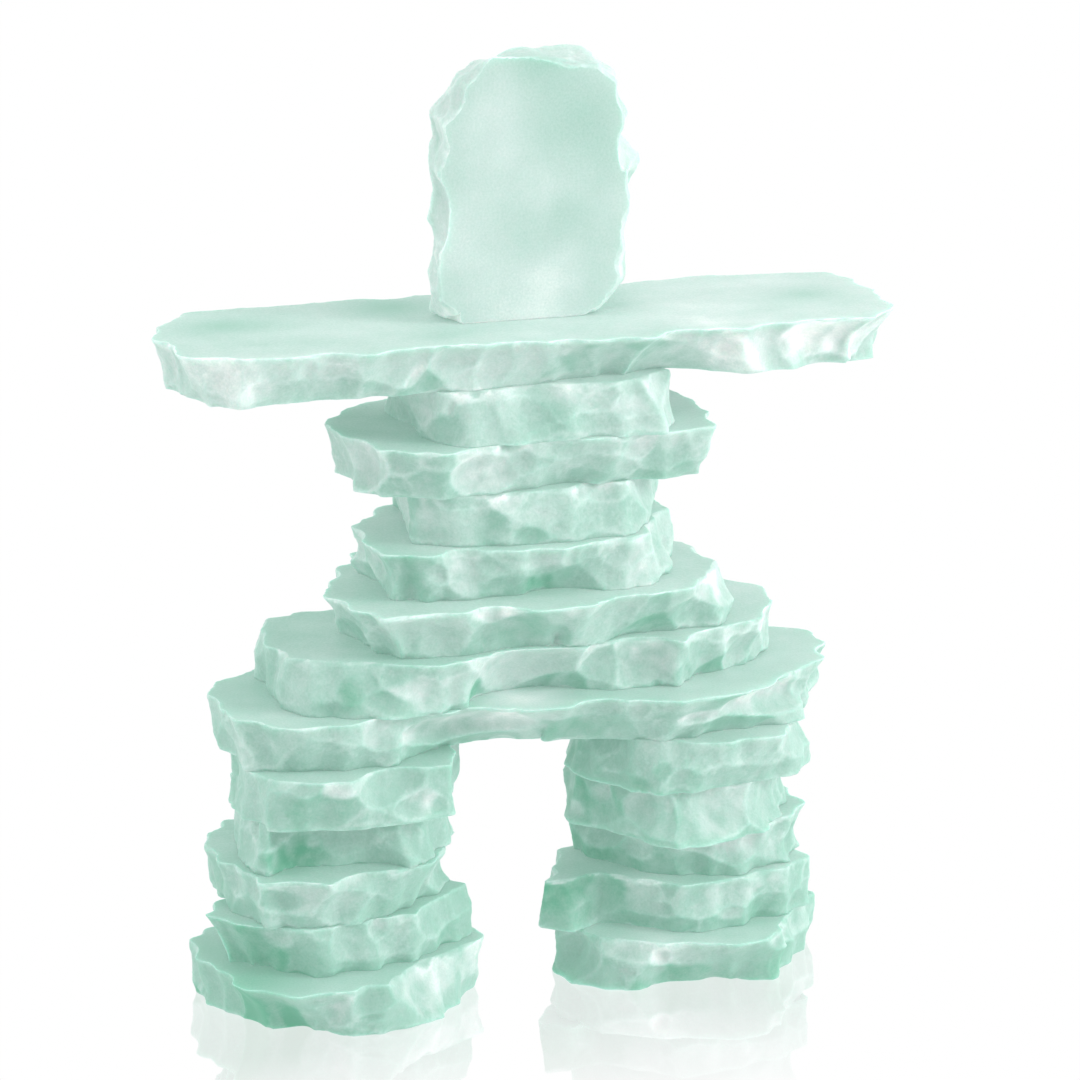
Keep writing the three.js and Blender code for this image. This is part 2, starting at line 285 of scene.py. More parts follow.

# The blasted surface: mottles as pairs of size and depth, and two sizes of white wisp and their strengths.
# Then the thin white lines on ridges and along edges, which are painted highlights, broken here and there.
MOTTLES = ((0.0006, 0.00006), (0.0015, 0.00010), (0.004, 0.00018))
CHIP_SHARP = 0.0002
WISP_MIDDLE = 0.8
FINE_WISP, FINE_WISPS = 0.0016, 0.3
BROAD_WISP, BROAD_WISPS = 0.005, 0.2
WISP_RANGE = (0.15, 1.4)
RIDGE_NEAR = 0.0014
RIDGE_STANDS = 0.00015
BROKEN = 0.003
RIDGE_WHOLE, RIDGE_BROKEN = 0.3, 0.7
EDGE_REACH = 0.0006
EDGE_WHOLE, EDGE_BROKEN = -0.05, 0.5
EDGE_MOST = 0.7


class Rim:
    """The rim of a slab while it is struck: how deep the flakes have bitten everywhere on it, and how
    pale the glass shows there, which is partly frost and partly painted light and shade. Where two scars
    meet the deeper one wins, which leaves the sharp ridges of struck glass."""

    def __init__(self, slab, dice):
        self.slab = slab
        self.dice = dice
        self.length = slab.length
        self.along = slab.along[None, :]
        self.up = slab.heights[:, None]
        shape = (len(slab.heights), len(slab.along))
        self.weight = np.full(shape, math.exp(UNTOUCHED / RIDGE))
        self.blend = np.full(shape, math.exp(UNTOUCHED / FADE))
        self.paleness = np.zeros(shape)
        self.chipped = np.zeros(shape)
        self.chip_pale = np.zeros(shape)
        self.placed = []

    def beyond(self, place, along):
        """How far along the rim a point lies beyond a place, the shorter way round."""
        return (along - place + self.length / 2) % self.length - self.length / 2

    def strike(self, place, height, half_wide, half_tall, turn, tip, deep, pale):
        """One hammer blow: a shallow tilted bowl with faint ripples round the point that was struck."""
        aside = self.beyond(place, self.along)
        above = self.up - height
        apart = (aside / half_wide) ** 2 + (above / half_tall) ** 2
        rings = np.sqrt(aside ** 2 + (above - math.copysign(half_tall, height - SHEET / 2)) ** 2)
        bowl = BOWL + BOWL_SPREAD * min(half_wide, half_tall)
        depth = deep - bowl * apart + SLOPES * (turn * aside + tip * above)
        depth += RIPPLE_DEPTH * np.sin(2 * math.pi * rings / RIPPLE) * np.exp(-apart)
        # Painted light: the bowl's paleness is strongest on one side, mostly its upper one.
        way = self.dice.normal(0, PALE_WAYS)
        towards = math.cos(way) * above / half_tall + math.sin(way) * aside / half_wide
        shade = np.clip(PALE_MIDDLE + PALE_CHANGE * towards, *PALE_RANGE)
        soft = np.exp(np.clip(depth / FADE, LEAST_POWER, MOST_POWER))
        self.weight = self.weight + np.exp(np.clip(depth / RIDGE, LEAST_POWER, MOST_POWER))
        self.blend = self.blend + soft
        self.paleness = self.paleness + pale * shade * soft

    def chip(self, place, half_wide, deep, slope, from_top, pale):
        """A flake off the edge between the rim and a flat face, with an arched border on the rim."""
        aside = self.beyond(place, self.along)
        inward = SHEET - self.up if from_top else self.up
        depth = deep * (1 - (aside / half_wide) ** 2) - slope * inward
        shows = np.clip((depth - self.chipped) / CHIP_SHOWS, 0, 1)
        self.chip_pale = self.chip_pale * (1 - shows) + pale * shows
        self.chipped = np.maximum(self.chipped, depth)

    def taken(self, place, height):
        """Whether a point lies in a scar that was placed one by one."""
        for scar_place, scar_height, wide, tall in self.placed:
            if (self.beyond(scar_place, place) / wide) ** 2 + ((height - scar_height) / tall) ** 2 < 1:
                return True
        return False

    def strike_listed(self, scars):
        """The scars that are given one by one, counted from the slab's left end."""
        left_end = self.slab.along[self.slab.rim[len(self.slab.heights) // 2, :, 0].argmin()]
        for scar in scars:
            place = (left_end + scar.along * MILLIMETRE) % self.length
            height = scar.up * MILLIMETRE
            wide, tall = scar.wide * MILLIMETRE / 2, scar.tall * MILLIMETRE / 2
            self.strike(place, height, wide, tall, scar.turn, scar.tip, PLACED, scar.pale)
            self.placed.append((place, height, wide, tall))

    def strike_the_rest(self):
        """Broad scars wherever none is given, then flakes and small chips along both edges."""
        dice = self.dice
        place = 0.0
        while place < self.length:
            wide = dice.uniform(*BROAD_WIDE)
            place += wide * dice.uniform(*BROAD_OVERLAP)
            top = dice.random() < BROAD_ON_TOP
            height = SHEET * dice.uniform(*(BROAD_HIGH if top else BROAD_LOW))
            tall = SHEET * dice.uniform(*BROAD_TALL)
            tip = dice.uniform(*BROAD_TIP) * (1 if top else -1)
            turn = dice.uniform(*BROAD_TURN)
            # Painted light: a broad scar's paleness is how far it faces right and up.
            values = (turn, tip, dice.uniform(*BROAD_DEEP), turn + tip)
            if not self.taken(place, height):
                self.strike(place, height, wide, tall, *values)
        for _ in range(round(self.length / SMALL_APART)):
            place = dice.uniform(0, self.length)
            height = SHEET * dice.uniform(*SMALL_UP)
            size = dice.uniform(*SMALL_SIZE)
            turn = dice.uniform(*SMALL_TURN)
            tip = dice.uniform(*SMALL_TIP)
            deep = PLACED + dice.uniform(*SMALL_DEEPER)
            # Painted light: a small scar is paler the more it faces right and up.
            pale = SMALL_PALE_SLOPE * (turn + tip) + dice.uniform(*SMALL_PALE)
            self.strike(place, height, size, size * dice.uniform(*SMALL_FLATTER), turn, tip, deep, pale)
        for _ in range(round(self.length / FLAKES_APART)):
            place = dice.uniform(0, self.length)
            top = dice.random() < FLAKES_ON_TOP
            values = (dice.uniform(*FLAKE_WIDE), dice.uniform(*FLAKE_DEEP), dice.uniform(*FLAKE_SLOPE))
            # Painted light: flakes off the upper edge are paler than those off the lower one.
            pale = dice.uniform(*(FLAKE_PALE_TOP if top else FLAKE_PALE_BELOW))
            if not self.taken(place, SHEET - MILLIMETRE if top else MILLIMETRE):
                self.chip(place, *values, top, pale)
        for _ in range(round(self.length / CHIPS_APART)):
            place = dice.uniform(0, self.length)
            top = dice.random() < CHIPS_ON_TOP
            values = (dice.uniform(*CHIP_WIDE), dice.uniform(*CHIP_DEEP), dice.uniform(*CHIP_SLOPE))
            # Painted glints: chips off the upper edge are paler than those off the lower one.
            self.chip(place, *values, top, CHIP_PALE_TOP if top else CHIP_PALE_BELOW)

    def finished(self):
        """Depth, paleness, and how far the surface carries a painted highlight on a ridge or edge."""
        slab, dice = self.slab, self.dice
        depth = RIDGE * np.log(self.weight) + self.chipped
        for size, rise in MOTTLES:
            depth = depth + rise * mottled(slab, dice, size)
        chips = np.clip(self.chipped / CHIP_SHARP, 0, 1)
        pale = self.paleness / self.blend * (1 - chips) + self.chip_pale * chips
        wisps = WISP_MIDDLE + FINE_WISPS * mottled(slab, dice, FINE_WISP)
        wisps = wisps + BROAD_WISPS * mottled(slab, dice, BROAD_WISP)
        pale = pale * np.clip(wisps, *WISP_RANGE)
        # Painted highlights: thin white lines on the ridges and along both edges.
        ridge = np.clip((evened(slab, depth, RIDGE_NEAR) - depth) / RIDGE_STANDS, 0, 1)
        ridge = ridge * np.clip(RIDGE_WHOLE + RIDGE_BROKEN * mottled(slab, dice, BROKEN), 0, 1)
        from_edge = np.minimum(self.up, SHEET - self.up)
        whole = np.clip(EDGE_WHOLE + EDGE_BROKEN * mottled(slab, dice, BROKEN), 0, EDGE_MOST)
        edge = np.exp(-from_edge / EDGE_REACH) * whole
        return depth, pale, np.clip(ridge + edge, 0, 1)


# A struck rim's middle depth stands a little proud of the solid's rim. The slab that stands is sawn where
# it faces straight down. Where a rim passes the solid's box it is drawn in, a little more than it passes
# and over a short stretch. A slab's chance is seeded with its name.
PROUD = 0.0008
SAWN_FROM = 0.9
SAWN_FULLY = 0.98
DRAW_IN = 1.4
DRAW_REACH = 0.003
LETTER_WEIGHT = 7
SEEDS = 100003


def arris_at(heights):
    """How far the two rounded arrises draw the rim in at each height."""
    gap = np.minimum(heights, SHEET - heights)
    arris = np.where(gap < ARRIS, ARRIS - np.sqrt(np.maximum(0, ARRIS ** 2 - (ARRIS - gap) ** 2)), 0)
    return np.where(heights < SHEET / 2, arris * LOWER_ARRIS, arris)


def drawn_in(rim, node, stands):
    """A rim that is kept inside the solid's box."""
    low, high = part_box(node)
    limits = [(low.x, high.x), (low.z, high.z) if stands else (low.y, high.y)]
    for axis, (least, most) in enumerate(limits):
        over = np.maximum(rim[..., axis].max(axis=0) - most, 0)
        under = np.maximum(least - rim[..., axis].min(axis=0), 0)
        rim[..., axis] += DRAW_IN * smoothed(under - over, STEP, DRAW_REACH)
        rim[..., axis] = np.clip(rim[..., axis], least, most)
    return rim


def slab_mesh(name, places, shades):
    """A smooth band of quads round the rim, which carries the shades, and two flat faces."""
    rows, count = places.shape[:2]
    index = np.arange(rows * count).reshape(rows, count)
    beside = np.roll(index, -1, axis=1)
    quads = np.stack((index[:-1], beside[:-1], beside[1:], index[1:]), axis=-1).reshape(-1, 4)
    faces = [*map(tuple, quads.tolist()), tuple(index[0, ::-1].tolist()), tuple(index[-1].tolist())]
    mesh = bpy.data.meshes.new(name)
    mesh.from_pydata(places.reshape(-1, 3).tolist(), [], faces)
    smooth = np.ones(len(faces), bool)
    smooth[-2:] = False
    mesh.polygons.foreach_set("use_smooth", smooth)
    corners = quads.size
    for shade, values in shades.items():
        shown = np.zeros(corners + 2 * count, np.float32)
        shown[:corners] = values.ravel()[quads.ravel()]
        mesh.attributes.new(shade, "FLOAT", "CORNER").data.foreach_set("value", shown)
    return mesh


def struck_slab(node, material, scars, stands=False):
    """A slab with its struck rim, in place of the plain one. A slab that stands keeps the edge that it
    stands on sawn."""
    slab = blank(node, stands)
    seed = sum(ord(letter) * LETTER_WEIGHT ** i for i, letter in enumerate(node)) % SEEDS
    struck = Rim(slab, np.random.default_rng(seed))
    struck.strike_listed([Scar(*row) for row in scars])
    struck.strike_the_rest()
    depth, pale, ridge = struck.finished()
    sawn = stands * np.clip((-SAWN_FROM - slab.out[:, 1]) / (SAWN_FULLY - SAWN_FROM), 0, 1)
    shift = (np.median(depth) + PROUD - depth) * (1 - sawn) - arris_at(slab.heights)[:, None]
    rim = drawn_in(slab.rim + slab.out * shift[..., None], node, stands)
    rim[..., 1] -= PRESSED * sawn
    rise = slab.low + slab.heights
    if slab.low > BOND and not stands:
        rise[0] -= PRESSED
    lift = np.broadcast_to(rise[:, None, None], (*depth.shape, 1))
    places = standing(np.concatenate((rim, lift), axis=2), stands)
    shades = {"pale": pale, "ridge": ridge, "rim": np.ones_like(depth)}
    mesh = slab_mesh(node + "_struck", places, shades)
    mesh.materials.append(material)
    piece = bpy.data.objects.new(node + "_struck", mesh)
    bpy.context.scene.collection.objects.link(piece)
    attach(piece, "root")
    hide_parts(node)


class Shade:
    """A number or colour on its way through a material. Arithmetic on it adds Math nodes, and node()
    adds any other kind: its settings first, then the values or links of its sockets."""

    def __init__(self, tree, socket=None):
        self.tree = tree
        self.socket = socket

    def feed(self, socket, value):
        if isinstance(value, Shade):
            self.tree.links.new(value.socket, socket)
        else:
            socket.default_value = value

    def node(self, kind, settings, inputs, output=0):
        made = self.tree.nodes.new("ShaderNode" + kind)
        for name, value in settings.items():
            if name == "stops":
                stops = made.color_ramp.elements
                for at, colour in value[1:-1]:
                    stops.new(at).color = (*colour, 1)
                for end in (0, -1):
                    at, colour = value[end]
                    stops[end].position = at
                    stops[end].color = (*colour, 1)
            else:
                setattr(made, name, value)
        for name, value in inputs.items():
            self.feed(made.inputs[name], value)
        return Shade(self.tree, made.outputs[output])

    def maths(self, operation, *values):
        return self.node("Math", {"operation": operation}, dict(enumerate(values)))

    def __add__(self, other):
        return self.maths("ADD", self, other)

    def __sub__(self, other):
        return self.maths("SUBTRACT", self, other)

    def __rsub__(self, other):
        return self.maths("SUBTRACT", other, self)

    def __mul__(self, other):
        return self.maths("MULTIPLY", self, other)

    __radd__ = __add__
    __rmul__ = __mul__

    def clamped(self):
        return self.maths("MAXIMUM", self.maths("MINIMUM", self, 1), 0)


# The colours that the glass runs through as its green goes from 0 to 1. Then the grain of its clouds, wisps
# and blasting, and how much green each of them adds or takes: on all of the glass, more low down as painted
# shade; on its flat faces, less towards the right as painted light; on its rims, less where those are pale,
# which is partly frost and partly painted light, and on ridges as painted highlights. Last its gloss, the
# light inside it and a glow in its own colour, which is painted light.
FROST_TO_JADE = (
    (0.0, (0.69, 0.725, 0.705)),
    (0.3, (0.45, 0.55, 0.52)),
    (0.6, (0.275, 0.435, 0.375)),
    (1.0, (0.13, 0.34, 0.24)),
)
FIGURE_HEIGHT = cad_box[1][2]
CLOUDS = {"Scale": 30, "Detail": 3, "Roughness": 0.55}
WISPS = {"Scale": 170, "Detail": 4, "Roughness": 0.6, "Distortion": 1.4}
GRAIN = {"Scale": 1100, "Detail": 2, "Roughness": 0.6}
NOISE_MIDDLE = 0.5
PLAIN_GREEN = 0.36
LOW_DOWN_GREEN = 0.15
CLOUDED = 0.26
GRAINY = 0.26
FACE_GREEN = 0.03
FACE_LOW_DOWN = 0.03
FACE_CLOUDED = 0.15
FACE_PAINTED_LIGHT_RIGHT = 0.5
RIM_LOW_DOWN = 0.15
PALE_FROST_AND_LIGHT = 0.25
PALE_FROST_AND_LIGHT_LOW_DOWN = 0.03
RIDGE_PAINTED_HIGHLIGHT = 0.10
WISPY = 0.19
CLOUD_RAGGED = 0.02
BLASTED = 0.58
BLASTED_UNEVENLY = 0.12
GRAIN_BUMP = {"Strength": 0.5, "Distance": 0.0002}
BENDS_LIGHT = 1.5
SHEEN = 0.25
MILKY = 0.8
LIGHT_REACH = 0.006
LIGHT_TINT = (0.5, 1, 0.8)
PAINTED_GLOW = 0.35


def frosted_glass(name, clouds_and_painted_light=()):
    """Sandblasted jade glass: whitest on pale scars and on the painted highlights of thin ridges, greenest
    low down as painted shade. Each patch given is greener or whiter glass, partly a cloud in the sheet and
    partly painted light and shade: where its middle lies, how far it reaches and how much greener it is.
    The glow stands for the light that wanders about inside the glass: it is painted light, which lightens
    the glass's shade."""
    material = bpy.data.materials.new(name)
    material.use_nodes = True
    shader = material.node_tree.nodes["Principled BSDF"]
    tree = Shade(material.node_tree)
    place = tree.node("TexCoord", {}, {}, "Object")
    across, height = (tree.node("SeparateXYZ", {}, {"Vector": place}, axis) for axis in "XZ")
    pale, ridge, rim = (
        tree.node("Attribute", {"attribute_name": carried}, {}, "Fac")
        for carried in ("pale", "ridge", "rim")
    )
    cloud, wisp, grain = (
        tree.node("TexNoise", {}, {"Vector": place, **noise}, "Fac") - NOISE_MIDDLE
        for noise in (CLOUDS, WISPS, GRAIN)
    )
    # Painted shade: the glass is darker and greener the nearer it is to the floor.
    low_down = 1 - height * (1 / FIGURE_HEIGHT)
    # Painted light: the flat faces are whiter towards the right, where the main lamp stands.
    face_green = FACE_GREEN + low_down * FACE_LOW_DOWN - across * FACE_PAINTED_LIGHT_RIGHT + cloud * FACE_CLOUDED
    # Painted light and shade: the rims' paleness is partly frost and partly painted light, and their ridges
    # and edges carry painted highlights.
    rim_green = (low_down * RIM_LOW_DOWN - pale * (low_down * PALE_FROST_AND_LIGHT_LOW_DOWN + PALE_FROST_AND_LIGHT)
                 - ridge * RIDGE_PAINTED_HIGHLIGHT - wisp * WISPY)
    green = (PLAIN_GREEN + low_down * LOW_DOWN_GREEN + cloud * CLOUDED + grain * GRAINY
             + (1 - rim) * face_green + rim * rim_green)
    for middle, reach, greener in clouds_and_painted_light:
        apart = tree.node("VectorMath", {"operation": "DISTANCE"}, {0: place, 1: middle}, "Value")
        near = (1 - (apart + cloud * CLOUD_RAGGED) * (1 / reach)).clamped()
        green = green + near * near * greener
    colour = tree.node("ValToRGB", {"stops": FROST_TO_JADE}, {"Fac": green}, "Color")
    tree.feed(shader.inputs["Base Color"], colour)
    tree.feed(shader.inputs["Roughness"], BLASTED + grain * BLASTED_UNEVENLY)
    tree.feed(shader.inputs["Normal"], tree.node("Bump", {}, {"Height": grain, **GRAIN_BUMP}, "Normal"))
    shader.inputs["IOR"].default_value = BENDS_LIGHT
    shader.inputs["Specular IOR Level"].default_value = SHEEN
    shader.inputs["Subsurface Weight"].default_value = MILKY
    shader.inputs["Subsurface Radius"].default_value = LIGHT_TINT
    shader.inputs["Subsurface Scale"].default_value = LIGHT_REACH
    # Painted light: the glass glows in its own colour, which lightens its shaded parts.
    tree.feed(shader.inputs["Emission Color"], colour)
    shader.inputs["Emission Strength"].default_value = PAINTED_GLOW
    return material


# Patches of greener and whiter glass, partly clouds in the sheet and partly painted light and shade, such
# as the left foot's shaded left end.
glass = frosted_glass("frosted_glass", (
    ((-0.120, -0.034, 0.010), 0.035, 0.38),
    ((-0.040, -0.050, 0.019), 0.030, -0.20),
    ((-0.014, -0.026, 0.116), 0.036, -0.38),
    ((0.040, -0.035, 0.019), 0.045, -0.28),
    ((0.008, -0.033, 0.066), 0.034, 0.24),
    ((0.052, -0.029, 0.028), 0.028, 0.16),
    ((0.045, -0.037, 0.065), 0.022, 0.14),
    ((-0.067, -0.033, 0.128), 0.032, 0.12),
    ((-0.109, -0.028, 0.107), 0.024, -0.12),
    ((-0.047, -0.016, 0.185), 0.020, -0.24),
    ((-0.002, -0.025, 0.219), 0.022, 0.30),
    ((-0.016, -0.022, 0.231), 0.013, -0.36),
    ((0.006, -0.021, 0.230), 0.013, -0.36),
))
struck_slab("foot_left", glass, [
    (5, 13, 26, 9, -.03, 0, -.8), (5, 4, 26, 8, -.03, -.1, -.9), (30, 11, 22, 14, -.1, 0, -.9),
    (47, 9, 18, 14, -.15, -.1, -.9), (59, 6, 7, 11, -.45, -.1, -1), (62, 12, 7, 12, .5, .2, .8),
    (70, 10, 7, 9, .3, .2, .6), (73, 16, 8, 5, -.1, 0, -.2), (71, 3, 10, 5, 0, -.2, -.2),
    (82, 7, 13, 10, 0, -.05, 0), (86, 15, 16, 7, .1, .3, .5), (86, 9, 8, 3, -.1, -.4, -.2),
    (100, 10, 22, 16, .15, .15, .9), (120, 10, 24, 16, .15, .1, .9), (138, 10, 16, 14, .1, 0, .5),
    (5, 17, 26, 6, -.03, .2, 0),
])
struck_slab("leg_left_2", glass, [
    (2, 9.5, 26, 19, -.03, 0, -.7), (19, 11, 6, 15, .1, 0, -.1), (34, 9, 22, 17, -.25, -.1, -.9),
    (46, 16, 8, 5, .1, .3, .1), (53, 11, 9, 14, .3, .1, .25), (60, 5, 9, 7, 0, -.2, -.2),
    (73, 10, 18, 15, .1, .1, .3), (88, 9, 10, 14, -.05, 0, .15), (95, 9.5, 4, 10, .5, .1, .7),
    (104, 9, 12, 14, .2, .1, .3),
])
struck_slab("leg_left_3", glass, [
    (0, 9.5, 34, 19, -.03, 0, -.6), (27, 10, 12, 7, .1, 0, 0), (30, 3, 10, 5, .1, .1, 0),
    (43, 9, 12, 16, .1, 0, .25), (53, 6, 8, 10, -.3, -.2, -.8), (61, 14.5, 11, 6, .2, .5, 1),
    (64, 7, 12, 8, .1, .1, .4), (71, 6, 2.5, 12, .4, 0, .8), (77, 8, 10, 12, -.1, -.1, -.4),
    (80, 16, 14, 5, 0, -.2, -.9), (94, 9, 16, 14, .1, 0, -.2), (115, 10, 20, 14, .1, .1, -.1),
])
struck_slab("leg_left_4", glass, [
    (-17, 9.5, 38, 19, -.02, 0, -.1), (15, 9, 26, 14, -.1, 0, 0), (42, 7, 16, 11, .2, .1, .1),
    (56, 7, 14, 14, -.3, -.2, -1), (68, 6, 14, 12, -.1, -.2, -.7), (83, 7, 16, 12, .3, .1, .3),
    (100, 9, 18, 13, .1, 0, .2), (60, 16, 60, 6, 0, -.2, -.7),
])
struck_slab("leg_left_5", glass, [
    (-18, 9.5, 42, 19, -.02, 0, -.5), (11, 10, 16, 14, -.1, 0, 0), (19.5, 11, 2.5, 12, .3, 0, .3),
    (27, 9, 14, 15, -.1, -.1, -.6), (36, 15.5, 12, 5, 0, .3, 0), (40, 7, 14, 12, -.1, -.1, -.6),
    (53, 10, 11, 14, -.25, -.1, -.7), (66, 15.5, 15, 6, .1, .4, .5), (66, 8, 12, 9, .1, .1, 0),
    (75, 3, 12, 5, .1, .4, .8), (80, 11, 14, 9, .1, .1, .3), (90, 10, 7, 9, .3, .1, .5),
    (88, 3, 9, 5, 0, -.2, -.2), (104, 15, 20, 6, .1, .3, .5), (106, 7, 20, 10, .1, 0, .1),
])

# The right leg.
# Five more slabs of the same jade green glass, struck, sandblasted and bonded on one another in the
# same way. The foot stands flat on the floor.
struck_slab("foot_right", glass, [
    (-6, 9, 18, 15, -.1, 0, -.9), (14, 9, 24, 15, -.1, 0, -.45), (34, 15, 14, 8, .1, .3, .5),
    (35, 6, 16, 9, -.1, -.1, -.5), (52, 17.5, 26, 4, 0, .5, .6), (46.5, 11.5, 4, 4, .4, .4, 1),
    (45, 3, 6, 5, .2, .2, .1), (56, 7, 17, 14, -.05, -.3, -1), (80, 8, 30, 16, -.05, -.25, -1),
    (90, 15, 16, 6, .3, .4, .6), (104, 10, 16, 14, .2, .1, .4), (122, 10, 20, 15, .1, 0, .3),
])
struck_slab("leg_right_2", glass, [
    (-2, 9.5, 24, 19, -.02, 0, -.6), (20, 14, 20, 10, -.1, 0, -1), (18, 4, 18, 7, 0, .1, -.4),
    (38, 12, 16, 12, -.1, 0, -.8), (46, 4, 26, 7, 0, -.2, -.7), (52, 14, 12, 6, .1, .2, 0),
    (61, 9, 13, 6, .25, .4, .6), (64, 4, 10, 6, 0, -.2, -.4), (70, 11, 6, 15, .4, .1, .6),
    (77, 8.5, 6, 5, -.2, -.1, .1), (84, 14, 13, 8, .2, .3, .9), (84, 10, 9, 4, .2, .5, 1),
    (82, 4, 14, 6, .1, 0, .4), (95, 12, 10, 12, .1, .1, .6), (105, 8, 13, 13, -.2, -.1, -.2),
    (120, 8, 14, 13, .2, .1, .6),
])
struck_slab("leg_right_3", glass, [
    (8, 8, 16, 14, -.1, 0, -.5), (30, 8, 28, 14, -.1, -.1, -1), (53, 7, 22, 13, -.1, -.2, -1),
    (70, 8, 11, 13, .1, -.1, -.5), (76, 10, 5, 11, .3, .1, .1), (88, 10, 18, 13, .2, .1, .4),
    (98, 4, 12, 7, .2, .2, .6), (110, 10, 16, 14, .1, 0, 0),
])
struck_slab("leg_right_4", glass, [
    (0, 9.5, 34, 19, -.02, 0, -.8), (24, 9, 14, 14, -.1, 0, -.8), (36, 8, 10, 13, 0, 0, -.1),
    (44, 12, 6, 10, .2, .1, .1), (50, 5, 13, 9, .3, .4, .5), (61, 12, 14, 9, -.05, .1, .1),
    (62, 2.5, 9, 4, .2, .4, .8), (57.5, 4, 2.5, 5, -.4, 0, -.4), (71, 12, 6, 11, .4, .1, .5),
    (78, 9, 14, 9, .2, .2, .6), (84, 15, 7, 6, -.1, -.1, -.2), (75, 1.5, 18, 3, 0, -.5, -.6),
    (91, 10, 11, 14, .1, .1, .5), (108, 10, 22, 14, .15, .1, .5),
])
struck_slab("leg_right_5", glass, [
    (2, 9.5, 34, 19, -.02, 0, -.8), (28, 12, 12, 11, -.1, 0, -.5), (30, 4, 18, 6, 0, -.2, -.7),
    (40, 13, 10, 11, .2, .2, .4), (49, 13, 4, 9, -.4, -.1, -.7), (55, 14, 9, 8, .2, .2, .4),
    (43, 4, 10, 7, .1, 0, .1), (58, 6, 13, 8, -.05, -.3, -.7), (62, 14, 4, 6, -.3, 0, -.2),
    (69, 14, 11, 9, .2, .3, .7), (75, 5, 20, 8, 0, -.2, -.5), (83, 13, 12, 9, .05, .1, .1),
    (94, 13, 12, 9, .25, .25, .4), (97, 4, 14, 7, 0, -.1, -.3),
])

# The hips and the body.
# A long slab of the same glass bonded across the two legs, with six shorter ones bonded flat on it, one
# on another, for the body.
struck_slab("hips", glass, [
    (-11, 9.5, 36, 19, 0, 0, .2), (8, 10, 14, 15, -.02, 0, .1), (22, 10, 12, 14, .1, .05, .25),
    (32, 12, 8, 13, -.3, 0, -.5), (47, 15, 18, 7, .1, .2, .2), (48, 5, 19, 9, -.05, -.35, -.8),
    (62, 12, 12, 12, .3, .3, .9), (72, 13, 8, 9, .2, .2, .5), (77, 6.5, 16, 4, .25, .6, 1),
    (82, 12, 9, 8, -.1, -.2, -.5), (68, 3, 18, 5, .1, 0, .1), (89, 18, 12, 3, 0, .5, .7),
    (96, 8, 20, 14, -.1, -.1, -.4), (112, 14, 18, 8, -.05, 0, -.6), (121, 6, 17, 10, -.1, -.45, -1),
    (139, 14, 16, 8, .15, .2, .2), (141, 4, 18, 7, 0, -.2, -.5), (161, 10, 20, 15, -.1, -.1, -.8),
    (163, 18, 16, 2.5, 0, .5, .5), (173, 15, 5, 8, .4, .2, .8), (181, 15, 12, 7, .15, .3, .5),
    (183, 6, 14, 9, .05, 0, 0), (194, 14, 12, 8, -.1, -.1, -.3), (197, 7.5, 13, 3, .1, .6, .9),
    (197, 3, 14, 4, 0, -.1, -.1), (211, 9, 15, 3.5, .3, .6, 1), (212, 15, 14, 6, -.1, -.1, -.5),
    (212, 4, 14, 5, 0, -.1, -.1), (220, 8, 5, 8, .3, .1, .3), (231, 6, 18, 10, -.15, -.3, -.8),
    (238, 14, 14, 8, .3, .35, .8), (248, 6, 12, 9, .2, .1, .4), (262, 10, 18, 15, .2, .1, .5),
])
struck_slab("body_1", glass, [
    (-8, 9.5, 26, 19, -.02, 0, .3), (12, 12, 16, 12, -.1, 0, .05), (10, 2.5, 30, 5, 0, -.3, -.6),
    (30, 11, 12, 13, -.15, 0, -.4), (43, 13, 12, 9, .15, .1, 0), (46, 5, 17, 7, 0, -.3, -.7),
    (54, 13, 6, 9, -.4, 0, -.7), (64, 14, 13, 7, .15, .15, .2), (63, 7, 13, 5, 0, -.2, -.4),
    (78, 15, 15, 7, .1, .2, .3), (78, 8, 15, 4, 0, -.3, -.4), (78, 3, 16, 6, .1, .5, 1),
    (92, 14, 10, 9, .25, .3, .8), (104, 13, 14, 8, -.1, -.15, -.5), (103, 5, 14, 10, .3, .3, .7),
    (115, 10, 9, 7, -.3, -.3, -.9), (114, 3, 8, 5, .1, 0, -.2), (116, 16, 14, 5, 0, .2, -.4),
    (129, 9, 18, 16, -.15, -.1, -.9), (143, 14, 6, 9, .4, .2, .7), (149, 14, 6, 10, .35, .3, .8),
    (149, 4, 12, 8, -.3, -.3, -.9), (158, 7, 12, 10, .3, .2, .9), (166, 15, 18, 5, 0, -.2, -.5),
    (172, 6, 16, 10, 0, 0, .1), (190, 16, 20, 6, .15, .4, .8), (192, 8, 18, 10, -.05, -.1, -.3),
    (203, 3, 6, 5, .1, .3, .5), (207, 14, 9, 9, .2, .2, .6), (214, 6, 10, 9, -.1, -.4, -1),
    (221, 12, 14, 13, .3, .2, .8), (238, 10, 18, 15, .2, .1, .8),
])
